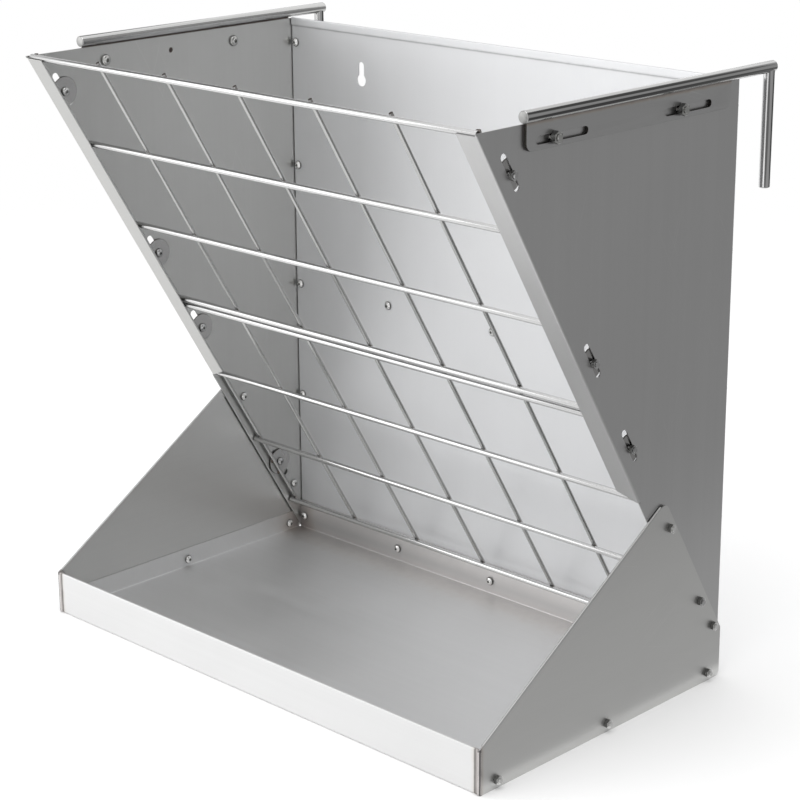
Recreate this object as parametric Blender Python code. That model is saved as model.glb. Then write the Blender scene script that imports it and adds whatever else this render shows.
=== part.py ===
"""Wall-mounted hay feeder of folded steel sheet, with welded grids in front and hooks for a rail.

Metres, +Z up. The wall is behind, towards +Y, and animals feed from -Y. The origin is the middle of the
footprint, level with the underside of the tray. A depth is measured forwards from the wall plane.
"""

import collections
import math

import bmesh
import bpy
from mathutils import Vector

# Sheet and clearances
SHEET = 0.0012
GAP = 0.0003
BEND_INNER = 0.0012
HEM_GAP = 0.0003
SLIT = 0.0003
BEND_STEPS = 3
HEM_STEPS = 4
CORNER_STEPS = 4

# Casing
OVERALL_WIDTH = 0.600
PANEL_TOP = 0.5895
TOP_DEPTH = 0.357
TIP_LAND = 0.0013
REAR_FLANGE = 0.0256
FRONT_FLANGE = 0.023
FRONT_FLANGE_START = 0.003
FRONT_FLANGE_STOP = 0.248
FRONT_FLANGE_SKEW = 0.010
BACK_RISE = 0.001
BACK_HEM = 0.008

# Keyholes in the back panel
KEYHOLE_X = 0.189
KEYHOLE_DROP = 0.0375
KEYHOLE_HEIGHT = 0.026
KEYHOLE_SLOT = 0.008
KEYHOLE_ROUND = 0.013
KEYHOLE_SIDES = 20

# Brace behind the back panel
BRACE_Z = 0.2933
BRACE_HEIGHT = 0.036
BRACE_END_GAP = 0.0014
BRACE_SCREW_SPACING = 0.1516

# Tray
TRAY_DEPTH = 0.351
FRONT_LIP = 0.045
FRONT_LIP_HEM = 0.008
SIDE_LIP = 0.022
REAR_LIP = 0.034
REAR_LIP_SCREW_SPACING = 0.1385
CORNER_NOTCH = 0.001
LIP_END_GAP = 0.0005
BEAD_RADIUS = 0.0013
BEAD_INSET = 0.0002
BEAD_BITE = 0.0005
BEAD_SIDES = 8

# Wings
WING_REAR = 0.001
WING_INSET = 0.028
WING_APEX_RISE = 0.224
WING_HEM = 0.010
WING_HEM_FRONT_GAP = 0.0045
WING_APEX_RADIUS = 0.008
WING_REAR_RADIUS = 0.004
WING_FOOT_RADIUS = 0.006
WING_FRONT_RADIUS = 0.0015

# Grids
BAR_DIAMETER = 0.006
WIRE_DIAMETER = 0.004
GRID_WELD = 0.0005
BAR_SIDES = 10
WIRE_SIDES = 8
WIRE_COUNT = 7
WIRE_OVERHANG = 0.0028
GRID_LEAN = 0.001
GRID_TOP_INSET = 0.0042
GRID_BOTTOM_INSET = 0.0406
GRID_SPLIT = 0.0080
UPPER_GRID_SHARE = 0.5043
UPPER_BAYS = (0.1073, 0.1080)
LOWER_BAYS = (0.1064, 0.1062)

# Clamps: slots in the side panels, and washers that are the lugs of the grids' outer wires
CLAMP_INSETS = (0.0501, 0.0538, 0.0460, 0.0489)
CLAMP_LINE = 0.017
CLAMP_SLOT_LENGTH = 0.039
CLAMP_SLOT_WIDTH = 0.007
CLAMP_SHIFTS = (0.0027, 0.0033, 0.0043, -0.0030)
WASHER_DIAMETER = 0.030
WASHER_THICKNESS = 0.0015
WASHER_SIDES = 20

# Hooks
HOOK_CENTRE_DEPTHS = {"left": 0.1733, "right": 0.1773}
HOOK_SPACING = 0.1721
HOOK_SET_BACKS = {"left": 0.0193, "right": 0.0105}
HOOK_BOLT_DROP = 0.0152
PLATE_THICKNESS = 0.003
PLATE_RISE = 0.0011
PLATE_HEIGHT = 0.0247
PLATE_FRONT_MARGIN = 0.0454
PLATE_REAR_MARGIN = 0.0627
PLATE_CORNER_RADIUS = 0.0075
HOOK_SLOT_LENGTH = 0.067
HOOK_SLOT_WIDTH = 0.007
ROD_DIAMETER = 0.011
ROD_SIDES = 16
ROD_WELD = 0.0005
ROD_OVERHANG = 0.003
HOOK_REACH = 0.048
LEG_DIAMETER = 0.0107
LEG_INSET = 0.0008
LEG_DROP = 0.1128
LEG_SUNK = 0.002

# Fasteners
Thread = collections.namedtuple("Thread", "shank head head_height nut nut_height")
M5 = Thread(shank=0.0050, head=0.0095, head_height=0.0030, nut=0.008, nut_height=0.004)
M6 = Thread(shank=0.0060, head=0.0115, head_height=0.0036, nut=0.010, nut_height=0.005)
BOLT_SIDES = 12
THREAD_STUB = 0.0015
HEAD_CROWN = 0.5
HEAD_SHOULDER = 0.88
HEAD_SHOULDER_HEIGHT = 0.62
HOLE_CLEARANCE = 0.0003
COLUMN_SCREW_INSET = 0.008
COLUMN_TOP_INSET = 0.0255
COLUMN_LOW_Z = 0.1634
LIP_SCREW_Z = 0.0154
SIDE_LIP_SCREW_Z = 0.009
SIDE_LIP_SCREW_REAR = 0.021
SIDE_LIP_SCREW_FRONT_INSET = 0.0219
SIDE_LIP_SCREW_COUNT = 3
WING_SCREW_LINE = 0.0195
WING_SCREW_UPPER_RISE = 0.195
WING_SCREW_LOWER_RISE = 0.053

# Worked out across the width, from the wings inwards
WING_X = OVERALL_WIDTH / 2 - SHEET / 2
LIP_X = WING_X - SHEET - GAP
WEB_X = LIP_X - SHEET - GAP
WEB_INNER = WEB_X - SHEET / 2
WEB_OUTER = WEB_X + SHEET / 2
BEND_RADIUS = BEND_INNER + SHEET / 2
FOLD_BACK = SHEET / 2 + BEND_RADIUS
HEM_RADIUS = (SHEET + HEM_GAP) / 2
HEM_BACK = HEM_RADIUS + SHEET / 2
INNER_HALF_WIDTH = WEB_INNER - BEND_INNER
COLUMN_SCREW_X = WEB_OUTER - COLUMN_SCREW_INSET

# Worked out in depth, from the wall forwards
FLANGE_FRONT = SHEET
BACK_DEPTH = FLANGE_FRONT + GAP + SHEET / 2
TRAY_REAR = BACK_DEPTH + SHEET / 2 + GAP
WALL_Y = (TOP_DEPTH - HOOK_REACH) / 2

# Worked out along the slanted front
PANEL_BOTTOM = SHEET + GAP
TIP_DEPTH = FOLD_BACK + TIP_LAND
SLANT = math.atan2(TOP_DEPTH - TIP_DEPTH, PANEL_TOP - PANEL_BOTTOM)
SLOPE_LENGTH = math.hypot(TOP_DEPTH - TIP_DEPTH, PANEL_TOP - PANEL_BOTTOM)
FRONT_FLANGE_END = SLOPE_LENGTH - FRONT_FLANGE_STOP
WING_APEX = SLOPE_LENGTH - WING_APEX_RISE
WING_SCREWS = (SLOPE_LENGTH - WING_SCREW_UPPER_RISE, SLOPE_LENGTH - WING_SCREW_LOWER_RISE)
GRID_RUN = SLOPE_LENGTH - GRID_TOP_INSET - GRID_BOTTOM_INSET - GRID_SPLIT
UPPER_HEIGHT = UPPER_GRID_SHARE * GRID_RUN
LOWER_HEIGHT = GRID_RUN - UPPER_HEIGHT
UPPER_TOP = GRID_TOP_INSET
LOWER_TOP = UPPER_TOP + UPPER_HEIGHT + GRID_SPLIT
BAR_INWARD = SHEET + GAP + BAR_DIAMETER / 2
WIRE_BEHIND = (BAR_DIAMETER + WIRE_DIAMETER) / 2 - GRID_WELD
CLAMP_SLOTS = (
    UPPER_TOP + CLAMP_INSETS[0],
    UPPER_TOP + UPPER_HEIGHT - CLAMP_INSETS[1],
    LOWER_TOP + CLAMP_INSETS[2],
    LOWER_TOP + LOWER_HEIGHT - CLAMP_INSETS[3],
)
CLAMP_BOLTS = tuple(slot + shift for slot, shift in zip(CLAMP_SLOTS, CLAMP_SHIFTS))
WASHER_OUTER = WEB_INNER - GAP
WASHER_INNER = WASHER_OUTER - WASHER_THICKNESS
OUTER_WIRE_X = WASHER_INNER - GAP - WIRE_DIAMETER / 2

# Worked out from the panels' top edge
BACK_TOP = PANEL_TOP + BACK_RISE
KEYHOLE_TOP = BACK_TOP - KEYHOLE_DROP
PLATE_TOP = PANEL_TOP + PLATE_RISE

# Worked out for the hooks
PLATE_X = WEB_OUTER + GAP + PLATE_THICKNESS / 2
HOOK_BOLT_DEPTHS = {
    side_name: (centre + HOOK_SPACING / 2, centre - HOOK_SPACING / 2)
    for side_name, centre in HOOK_CENTRE_DEPTHS.items()
}
HOOK_SLOT_DEPTHS = {
    side_name: tuple(depth - HOOK_SET_BACKS[side_name] for depth in depths)
    for side_name, depths in HOOK_BOLT_DEPTHS.items()
}
HOOK_BOLT_Z = PANEL_TOP - HOOK_BOLT_DROP
ROD_Z = PLATE_TOP + ROD_DIAMETER / 2 - ROD_WELD
LEG_DEPTH = ROD_DIAMETER / 2 + LEG_INSET - HOOK_REACH

# Worked out for the rows of screws
COLUMN_TOP_Z = PANEL_TOP - COLUMN_TOP_INSET
COLUMN_SCREWS_Z = (COLUMN_TOP_Z, (COLUMN_TOP_Z + BRACE_Z) / 2, BRACE_Z, COLUMN_LOW_Z, LIP_SCREW_Z)
BRACE_SCREWS_X = (-BRACE_SCREW_SPACING, 0.0, BRACE_SCREW_SPACING)
REAR_LIP_SCREWS_X = (-REAR_LIP_SCREW_SPACING, 0.0, REAR_LIP_SCREW_SPACING)
SIDES = {"left": -1.0, "right": 1.0}

UP = Vector((0.0, 0.0, 1.0))
FORWARDS = Vector((0.0, -1.0, 0.0))
BACKWARDS = Vector((0.0, 1.0, 0.0))
RIGHT = Vector((1.0, 0.0, 0.0))
DOWN_SLOPE = Vector((0.0, math.sin(SLANT), -math.cos(SLANT)))
INTO_SLOPE = Vector((0.0, math.cos(SLANT), math.sin(SLANT)))


def at_depth(x, depth, z):
    """The point at a depth in front of the wall."""
    return Vector((x, WALL_Y - depth, z))


def on_slope(x, down, inward):
    """The point so far down the slanted front from its top corner, and so far in behind it."""
    return at_depth(x, TOP_DEPTH, PANEL_TOP) + DOWN_SLOPE * down + INTO_SLOPE * inward


def metal(name, colour, roughness):
    material = bpy.data.materials.new(name)
    material.use_nodes = True
    shader = material.node_tree.nodes["Principled BSDF"]
    shader.inputs["Base Color"].default_value = (*colour, 1.0)
    shader.inputs["Roughness"].default_value = roughness
    shader.inputs["Metallic"].default_value = 1.0
    return material


def add_object(name, bm, material=None, parent=None):
    bmesh.ops.recalc_face_normals(bm, faces=bm.faces)
    mesh = bpy.data.meshes.new(name)
    bm.to_mesh(mesh)
    bm.free()
    obj = bpy.data.objects.new(name, mesh)
    bpy.context.scene.collection.objects.link(obj)
    if material is not None:
        mesh.materials.append(material)
    if parent is not None:
        obj.parent = parent
        obj.matrix_parent_inverse = parent.matrix_basis.inverted()
    return obj


def smooth(obj):
    obj.data.shade_smooth()
    obj.data.set_sharp_from_angle(angle=math.radians(40.0))


def joint_empty(name, location):
    empty = bpy.data.objects.new(name, None)
    empty.location = location
    bpy.context.scene.collection.objects.link(empty)
    return empty


def helper(name, bm):
    """A cutter or a joined-on shape: it takes part in a Boolean and isn't itself a piece."""
    obj = add_object(name, bm)
    obj.hide_render = True
    obj.display_type = "WIRE"
    return obj


def combine(obj, other, operation):
    boolean = obj.modifiers.new(other.name, "BOOLEAN")
    boolean.object = other
    boolean.operation = operation
    boolean.solver = "EXACT"


def thicken(obj):
    """Gives the middle surface of a folded sheet its thickness, half to each side."""
    wall = obj.modifiers.new("sheet", "SOLIDIFY")
    wall.thickness = SHEET
    wall.offset = 0.0
    wall.use_even_offset = True


def fold(bm, line, outward, turn, angle, radius, steps, length, skews=(0.0, 0.0)):
    """Rolls the sheet over from a fold line's two corners and adds a flat leg. It returns the leg's far corners.

    Outward lies in the sheet and points off it, and turn is the way that the sheet bends. The skews slide
    the leg's far corners along the fold line.
    """
    centre = line[0].co + turn * radius
    axis = outward.cross(turn)
    along = (line[1].co - line[0].co).normalized()
    corners = line
    for _ in range(steps):
        corners = pull(bm, corners)
        for corner in corners:
            spoke = corner.co - centre
            across = spoke - axis * spoke.dot(axis)
            swung = across * math.cos(angle / steps) + axis.cross(across) * math.sin(angle / steps)
            corner.co += swung - across
    corners = pull(bm, corners)
    heading = outward * math.cos(angle) + turn * math.sin(angle)
    for corner, skew in zip(corners, skews):
        corner.co += heading * length + along * skew
    return corners


def pull(bm, corners):
    """Draws a new strip from the free edge between two corners and returns its far corners in their order."""
    grown = bmesh.ops.extrude_edge_only(bm, edges=[bm.edges.get(corners)])
    fresh = [part for part in grown["geom"] if isinstance(part, bmesh.types.BMVert)]
    return sorted(fresh, key=lambda corner: (corner.co - corners[0].co).length)


def arc(centre, radius, start, end, steps):
    """Points of an arc in a plane, its two ends included."""
    turns = [start + (end - start) * step / steps for step in range(steps + 1)]
    return [(centre[0] + radius * math.cos(turn), centre[1] + radius * math.sin(turn)) for turn in turns]


def round_outline(diameter, sides):
    step = math.tau / sides
    return arc((0.0, 0.0), diameter / 2, step / 2, math.tau - step / 2, sides - 1)


def slot_outline(length, width, sides):
    """A slot with round ends along the first axis."""
    reach = (length - width) / 2
    quarter = math.pi / 2
    far = arc((reach, 0.0), width / 2, -quarter, quarter, sides // 2)
    near = arc((-reach, 0.0), width / 2, quarter, 3 * quarter, sides // 2)
    return far + near


def rounded(corners, steps):
    """An outline with its corners rounded. Each corner is a point and its radius, which may be 0."""
    outline = []
    for index, (point, radius) in enumerate(corners):
        before = (Vector(corners[index - 1][0]) - Vector(point)).normalized()
        after = (Vector(corners[(index + 1) % len(corners)][0]) - Vector(point)).normalized()
        if radius == 0.0:
            outline.append(Vector(point))
            continue
        half = before.angle(after) / 2
        centre = Vector(point) + (before + after).normalized() * radius / math.sin(half)
        start = Vector(point) + before * radius / math.tan(half) - centre
        end = Vector(point) + after * radius / math.tan(half) - centre
        first = math.atan2(start.y, start.x)
        outline += [Vector(spot) for spot in arc(centre, radius, first, first - start.angle_signed(end), steps)]
    return outline


def prism(bm, outline, origin, first, second, thickness):
    """A slab of an outline in the plane of two directions, centred on that plane."""
    axis = first.cross(second)
    base = origin - axis * thickness / 2
    face = bm.faces.new([bm.verts.new(base + first * u + second * v) for u, v in outline])
    grown = bmesh.ops.extrude_face_region(bm, geom=[face])
    fresh = [part for part in grown["geom"] if isinstance(part, bmesh.types.BMVert)]
    bmesh.ops.translate(bm, verts=fresh, vec=axis * thickness)


def round_bar(bm, start, end, diameter, sides):
    """A straight round bar between the centres of its two ends."""
    run = end - start
    turn = run.to_track_quat("Z", "X").to_matrix().to_4x4()
    turn.translation = (start + end) / 2
    bmesh.ops.create_cone(
        bm,
        cap_ends=True,
        segments=sides,
        radius1=diameter / 2,
        radius2=diameter / 2,
        depth=run.length,
        matrix=turn,
    )


def drill(bm, point, axis, thread, depth):
    """A cutter for a screw's clearance hole, centred on a point."""
    reach = axis * depth / 2
    round_bar(bm, point - reach, point + reach, thread.shank + 2 * HOLE_CLEARANCE, BOLT_SIDES)


def fastener(name, seat, direction, grip, thread, parent=None):
    """A screw with its nut: a button head on its seat, the shank through the grip, the nut and a thread end."""
    bm = bmesh.new()
    shank = thread.shank / 2
    head = thread.head / 2
    corner = thread.nut / math.sqrt(3.0)
    flat = thread.nut / 2
    nut_end = grip + thread.nut_height
    profile = (
        (-thread.head_height, head * HEAD_CROWN, head * HEAD_CROWN),
        (-thread.head_height * HEAD_SHOULDER_HEIGHT, head * HEAD_SHOULDER, head * HEAD_SHOULDER),
        (0.0, head, head),
        (0.0, shank, shank),
        (grip, shank, shank),
        (grip, corner, flat),
        (nut_end, corner, flat),
        (nut_end, shank, shank),
        (nut_end + THREAD_STUB, shank, shank),
    )
    first = direction.orthogonal().normalized()
    second = direction.cross(first)
    rings = []
    for along, even, odd in profile:
        ring = []
        for side in range(BOLT_SIDES):
            angle = math.tau * side / BOLT_SIDES
            radius = odd if side % 2 else even
            spoke = first * math.cos(angle) + second * math.sin(angle)
            ring.append(bm.verts.new(seat + direction * along + spoke * radius))
        rings.append(ring)
    for near, far in zip(rings, rings[1:]):
        for side in range(BOLT_SIDES):
            after = (side + 1) % BOLT_SIDES
            bm.faces.new((near[side], near[after], far[after], far[side]))
    bm.faces.new(rings[0])
    bm.faces.new(rings[-1])
    smooth(add_object(name, bm, FASTENER_STEEL, parent))


def clamp_point(x, down):
    return on_slope(x, down, CLAMP_LINE)


def side_panel(side_name, side):
    """A web with a slanted front edge, a rear flange behind the back panel and a front flange turned inwards."""
    bm = bmesh.new()
    x = side * WEB_X
    inwards = -side * RIGHT
    start = FRONT_FLANGE_START
    end = FRONT_FLANGE_END
    rear_line = (
        bm.verts.new(at_depth(x, FOLD_BACK, PANEL_BOTTOM)),
        bm.verts.new(at_depth(x, FOLD_BACK, PANEL_TOP)),
    )
    front_line = (
        bm.verts.new(on_slope(x, start, FOLD_BACK)),
        bm.verts.new(on_slope(x, end, FOLD_BACK)),
    )
    above = ((0.0, 0.0), (start - SLIT, 0.0), (start - SLIT, FOLD_BACK))
    below = ((end + SLIT, FOLD_BACK), (end + SLIT, 0.0), (SLOPE_LENGTH, 0.0))
    upper = [bm.verts.new(on_slope(x, *place)) for place in above]
    lower = [bm.verts.new(on_slope(x, *place)) for place in below]
    bm.faces.new([*rear_line, *upper, *front_line, *lower])
    quarter = math.pi / 2
    rear_leg = REAR_FLANGE - FOLD_BACK
    front_leg = FRONT_FLANGE - FOLD_BACK
    fold(bm, rear_line, BACKWARDS, inwards, quarter, BEND_RADIUS, BEND_STEPS, rear_leg)
    skews = (0.0, -FRONT_FLANGE_SKEW)
    fold(bm, front_line, -INTO_SLOPE, inwards, quarter, BEND_RADIUS, BEND_STEPS, front_leg, skews)
    panel = add_object(side_name + "_side_panel", bm, CASING_STEEL)
    thicken(panel)
    combine(panel, side_panel_cuts(side_name, side), "DIFFERENCE")


def side_panel_cuts(side_name, side):
    bm = bmesh.new()
    x = side * WEB_X
    through = 4 * SHEET
    slot = slot_outline(CLAMP_SLOT_LENGTH, CLAMP_SLOT_WIDTH, BOLT_SIDES)
    for down in CLAMP_SLOTS:
        prism(bm, slot, clamp_point(x, down), DOWN_SLOPE, INTO_SLOPE, through)
    for depth in HOOK_BOLT_DEPTHS[side_name]:
        drill(bm, at_depth(x, depth, HOOK_BOLT_Z), RIGHT, M6, through)
    drill(bm, at_depth(x, HOOK_CENTRE_DEPTHS[side_name], HOOK_BOLT_Z), RIGHT, M5, through)
    for down in WING_SCREWS:
        drill(bm, on_slope(x, down, WING_SCREW_LINE), RIGHT, M5, through)
    for z in COLUMN_SCREWS_Z:
        drill(bm, at_depth(side * COLUMN_SCREW_X, FLANGE_FRONT / 2, z), BACKWARDS, M5, through)
    return helper(side_name + "_panel_cuts", bm)


def back_panel():
    """A flat sheet between the side panels, with a closed hem on the front of its top edge."""
    bm = bmesh.new()
    half = INNER_HALF_WIDTH
    top = BACK_TOP - HEM_BACK
    foot = [bm.verts.new(at_depth(x, BACK_DEPTH, PANEL_BOTTOM)) for x in (half, -half)]
    line = [bm.verts.new(at_depth(x, BACK_DEPTH, top)) for x in (-half, half)]
    bm.faces.new(foot + line)
    fold(bm, line, UP, FORWARDS, math.pi, HEM_RADIUS, HEM_STEPS, BACK_HEM - HEM_BACK)
    panel = add_object("back_panel", bm, CASING_STEEL)
    thicken(panel)
    combine(panel, back_panel_cuts(), "DIFFERENCE")
    combine(panel, keyhole_rounds(), "DIFFERENCE")


def back_panel_cuts():
    bm = bmesh.new()
    through = 4 * SHEET
    slot_height = KEYHOLE_HEIGHT - KEYHOLE_ROUND / 2
    slot = slot_outline(slot_height, KEYHOLE_SLOT, BOLT_SIDES)
    for x in (-KEYHOLE_X, KEYHOLE_X):
        prism(bm, slot, at_depth(x, BACK_DEPTH, KEYHOLE_TOP - slot_height / 2), UP, RIGHT, through)
    for x in BRACE_SCREWS_X:
        drill(bm, at_depth(x, BACK_DEPTH, BRACE_Z), BACKWARDS, M5, through)
    for x in REAR_LIP_SCREWS_X:
        drill(bm, at_depth(x, BACK_DEPTH, LIP_SCREW_Z), BACKWARDS, M5, through)
    for side in SIDES.values():
        for z in COLUMN_SCREWS_Z:
            drill(bm, at_depth(side * COLUMN_SCREW_X, BACK_DEPTH, z), BACKWARDS, M5, through)
    return helper("back_panel_cuts", bm)


def keyhole_rounds():
    """The round lower part of each keyhole, which a screw's head passes."""
    bm = bmesh.new()
    outline = round_outline(KEYHOLE_ROUND, KEYHOLE_SIDES)
    z = KEYHOLE_TOP - KEYHOLE_HEIGHT + KEYHOLE_ROUND / 2
    for x in (-KEYHOLE_X, KEYHOLE_X):
        prism(bm, outline, at_depth(x, BACK_DEPTH, z), UP, RIGHT, 4 * SHEET)
    return helper("keyhole_rounds", bm)


def rear_brace():
    """A flat strip behind the back panel, between the side panels' rear flanges."""
    bm = bmesh.new()
    half = WEB_OUTER - REAR_FLANGE - BRACE_END_GAP
    rise = BRACE_HEIGHT / 2
    outline = ((-half, -rise), (half, -rise), (half, rise), (-half, rise))
    middle = at_depth(0.0, FLANGE_FRONT / 2, BRACE_Z)
    prism(bm, outline, middle, RIGHT, UP, SHEET)
    brace = add_object("rear_brace", bm, CASING_STEEL)
    holes = bmesh.new()
    for x in BRACE_SCREWS_X:
        drill(holes, at_depth(x, FLANGE_FRONT / 2, BRACE_Z), BACKWARDS, M5, 4 * SHEET)
    combine(brace, helper("rear_brace_holes", holes), "DIFFERENCE")


def tray():
    """The floor with a tall hemmed front lip, low side lips and a rear lip in front of the back panel."""
    bm = bmesh.new()
    z = SHEET / 2
    lip_outer = LIP_X + SHEET / 2
    rear = TRAY_REAR + FOLD_BACK
    front = TRAY_DEPTH - FOLD_BACK
    side_end = front - 2 * SLIT
    rear_half = WEB_INNER - GAP
    side_fold = lip_outer - FOLD_BACK
    places = (
        (rear_half, rear),
        (rear_half, rear + CORNER_NOTCH),
        (side_fold, rear + CORNER_NOTCH),
        (side_fold, side_end),
        (side_fold, side_end + SLIT),
        (lip_outer, side_end + SLIT),
        (lip_outer, front),
    )
    right = [bm.verts.new(at_depth(x, depth, z)) for x, depth in places]
    left = [bm.verts.new(at_depth(-x, depth, z)) for x, depth in places]
    bm.faces.new(right + left[::-1])
    quarter = math.pi / 2
    lip_inner_depth = TRAY_DEPTH - SHEET
    reach = lip_inner_depth - LIP_END_GAP - side_end
    for corners, outward in ((right, RIGHT), (left, -RIGHT)):
        line = (corners[2], corners[3])
        fold(bm, line, outward, UP, quarter, BEND_RADIUS, BEND_STEPS, SIDE_LIP - FOLD_BACK, (0.0, reach))
    rear_line = (right[0], left[0])
    fold(bm, rear_line, BACKWARDS, UP, quarter, BEND_RADIUS, BEND_STEPS, REAR_LIP - FOLD_BACK)
    front_line = (right[-1], left[-1])
    rise = FRONT_LIP - FOLD_BACK - HEM_BACK
    top_line = fold(bm, front_line, FORWARDS, UP, quarter, BEND_RADIUS, BEND_STEPS, rise)
    fold(bm, top_line, UP, BACKWARDS, math.pi, HEM_RADIUS, HEM_STEPS, FRONT_LIP_HEM - HEM_BACK)
    shell = add_object("tray", bm, CASING_STEEL)
    thicken(shell)
    combine(shell, corner_welds(lip_outer, lip_inner_depth), "UNION")
    combine(shell, tray_holes(), "DIFFERENCE")


def corner_welds(lip_outer, lip_inner_depth):
    """A weld bead up each front corner, between the side lip's end and the front lip."""
    bm = bmesh.new()
    depth = lip_inner_depth - BEAD_RADIUS + BEAD_BITE
    for side in SIDES.values():
        x = side * (lip_outer - BEAD_RADIUS - BEAD_INSET)
        foot = at_depth(x, depth, FOLD_BACK)
        head = at_depth(x, depth, SIDE_LIP - BEAD_INSET)
        round_bar(bm, foot, head, 2 * BEAD_RADIUS, BEAD_SIDES)
    return helper("corner_welds", bm)


def side_lip_screw_depths():
    front = TRAY_DEPTH - SIDE_LIP_SCREW_FRONT_INSET
    step = (front - SIDE_LIP_SCREW_REAR) / (SIDE_LIP_SCREW_COUNT - 1)
    return [SIDE_LIP_SCREW_REAR + index * step for index in range(SIDE_LIP_SCREW_COUNT)]


def tray_holes():
    bm = bmesh.new()
    through = 4 * SHEET
    rear_depth = TRAY_REAR + SHEET / 2
    for x in REAR_LIP_SCREWS_X:
        drill(bm, at_depth(x, rear_depth, LIP_SCREW_Z), BACKWARDS, M5, through)
    for side in SIDES.values():
        drill(bm, at_depth(side * COLUMN_SCREW_X, rear_depth, LIP_SCREW_Z), BACKWARDS, M5, through)
        for depth in side_lip_screw_depths():
            drill(bm, at_depth(side * LIP_X, depth, SIDE_LIP_SCREW_Z), RIGHT, M5, through)
    return helper("tray_holes", bm)


def wing(name, side):
    """A plate that closes the tray's end, rising to an apex at the slanted front, hemmed on its top edge."""
    bm = bmesh.new()
    x = side * WING_X
    rear_rise = (TOP_DEPTH - WING_INSET * math.cos(SLANT) - WING_REAR) / math.sin(SLANT)
    rear_top = on_slope(0.0, rear_rise, WING_INSET)
    apex = on_slope(0.0, WING_APEX, WING_INSET)
    nose = at_depth(0.0, TRAY_DEPTH, FRONT_LIP)
    slope = (nose - apex).normalized()
    upright = RIGHT.cross(slope)
    if upright.z < 0.0:
        upright = -upright
    hem_end = nose - slope * WING_HEM_FRONT_GAP - upright * HEM_BACK
    slit_end = hem_end + slope * SLIT
    slit_top = slit_end + upright * HEM_BACK
    corners = (
        (at_depth(0.0, WING_REAR, 0.0), WING_FOOT_RADIUS),
        (rear_top, WING_REAR_RADIUS),
        (apex - upright * HEM_BACK, WING_APEX_RADIUS),
        (hem_end, 0.0),
        (slit_end, 0.0),
        (slit_top, 0.0),
        (nose, WING_FRONT_RADIUS),
        (at_depth(0.0, TRAY_DEPTH, 0.0), WING_FRONT_RADIUS),
    )
    outline = rounded([(point.yz, radius) for point, radius in corners], CORNER_STEPS)
    verts = [bm.verts.new((x, y, z)) for y, z in outline]
    bm.faces.new(verts)
    end = min(range(len(verts)), key=lambda index: (outline[index] - hem_end.yz).length)
    line = (verts[end - 1], verts[end])
    fold(bm, line, upright, -side * RIGHT, math.pi, HEM_RADIUS, HEM_STEPS, WING_HEM - HEM_BACK)
    plate = add_object(name, bm, CASING_STEEL)
    thicken(plate)
    holes = bmesh.new()
    through = 4 * SHEET
    for depth in side_lip_screw_depths():
        drill(holes, at_depth(x, depth, SIDE_LIP_SCREW_Z), RIGHT, M5, through)
    for down in WING_SCREWS:
        drill(holes, on_slope(x, down, WING_SCREW_LINE), RIGHT, M5, through)
    drill(holes, clamp_point(x, CLAMP_BOLTS[-1]), RIGHT, M5, through)
    combine(plate, helper(name + "_holes", holes), "DIFFERENCE")


def grid(name, top, height, bays, parent=None):
    """Cross bars in front with thinner wires welded behind them. It leans in a little towards its foot."""
    steps = (0.0, bays[0], sum(bays), height)
    bars = bmesh.new()
    for step in steps:
        inward = BAR_INWARD + GRID_LEAN * step / height
        ends = [on_slope(side * INNER_HALF_WIDTH, top + step, inward) for side in SIDES.values()]
        round_bar(bars, ends[0], ends[1], BAR_DIAMETER, BAR_SIDES)
    wires = bmesh.new()
    pitch = 2 * OUTER_WIRE_X / (WIRE_COUNT - 1)
    behind = BAR_INWARD + WIRE_BEHIND
    for index in range(WIRE_COUNT):
        x = index * pitch - OUTER_WIRE_X
        outermost = index in (0, WIRE_COUNT - 1)
        head = on_slope(x, top if outermost else top - WIRE_OVERHANG, behind)
        foot = on_slope(x, top + height + WIRE_OVERHANG, behind + GRID_LEAN)
        round_bar(wires, head, foot, WIRE_DIAMETER, WIRE_SIDES)
    obj = add_object(name, bars, GRID_STEEL, parent)
    smooth(obj)
    combine(obj, helper(name + "_wires", wires), "UNION")


def washer(name, side, down, parent=None):
    bm = bmesh.new()
    middle = clamp_point(side * (WASHER_OUTER + WASHER_INNER) / 2, down)
    outline = round_outline(WASHER_DIAMETER, WASHER_SIDES)
    prism(bm, outline, middle, DOWN_SLOPE, INTO_SLOPE, WASHER_THICKNESS)
    obj = add_object(name, bm, FASTENER_STEEL, parent)
    bore = bmesh.new()
    drill(bore, middle, RIGHT, M5, 3 * WASHER_THICKNESS)
    combine(obj, helper(name + "_bore", bore), "DIFFERENCE")


def clamps(side_name, side, slider):
    """Four clamps down one side. The upper two ride with the upper grid, and the last one goes through the wing."""
    head_face = WASHER_INNER - GAP
    for index, down in enumerate(CLAMP_BOLTS):
        parent = slider if down < LOWER_TOP else None
        nut_face = (WING_X + SHEET / 2 if down == CLAMP_BOLTS[-1] else WEB_OUTER) + GAP
        washer(f"{side_name}_clamp_washer_{index + 1}", side, down, parent)
        seat = clamp_point(side * head_face, down)
        name = f"{side_name}_clamp_bolt_{index + 1}"
        fastener(name, seat, side * RIGHT, nut_face - head_face, M5, parent)


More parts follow.
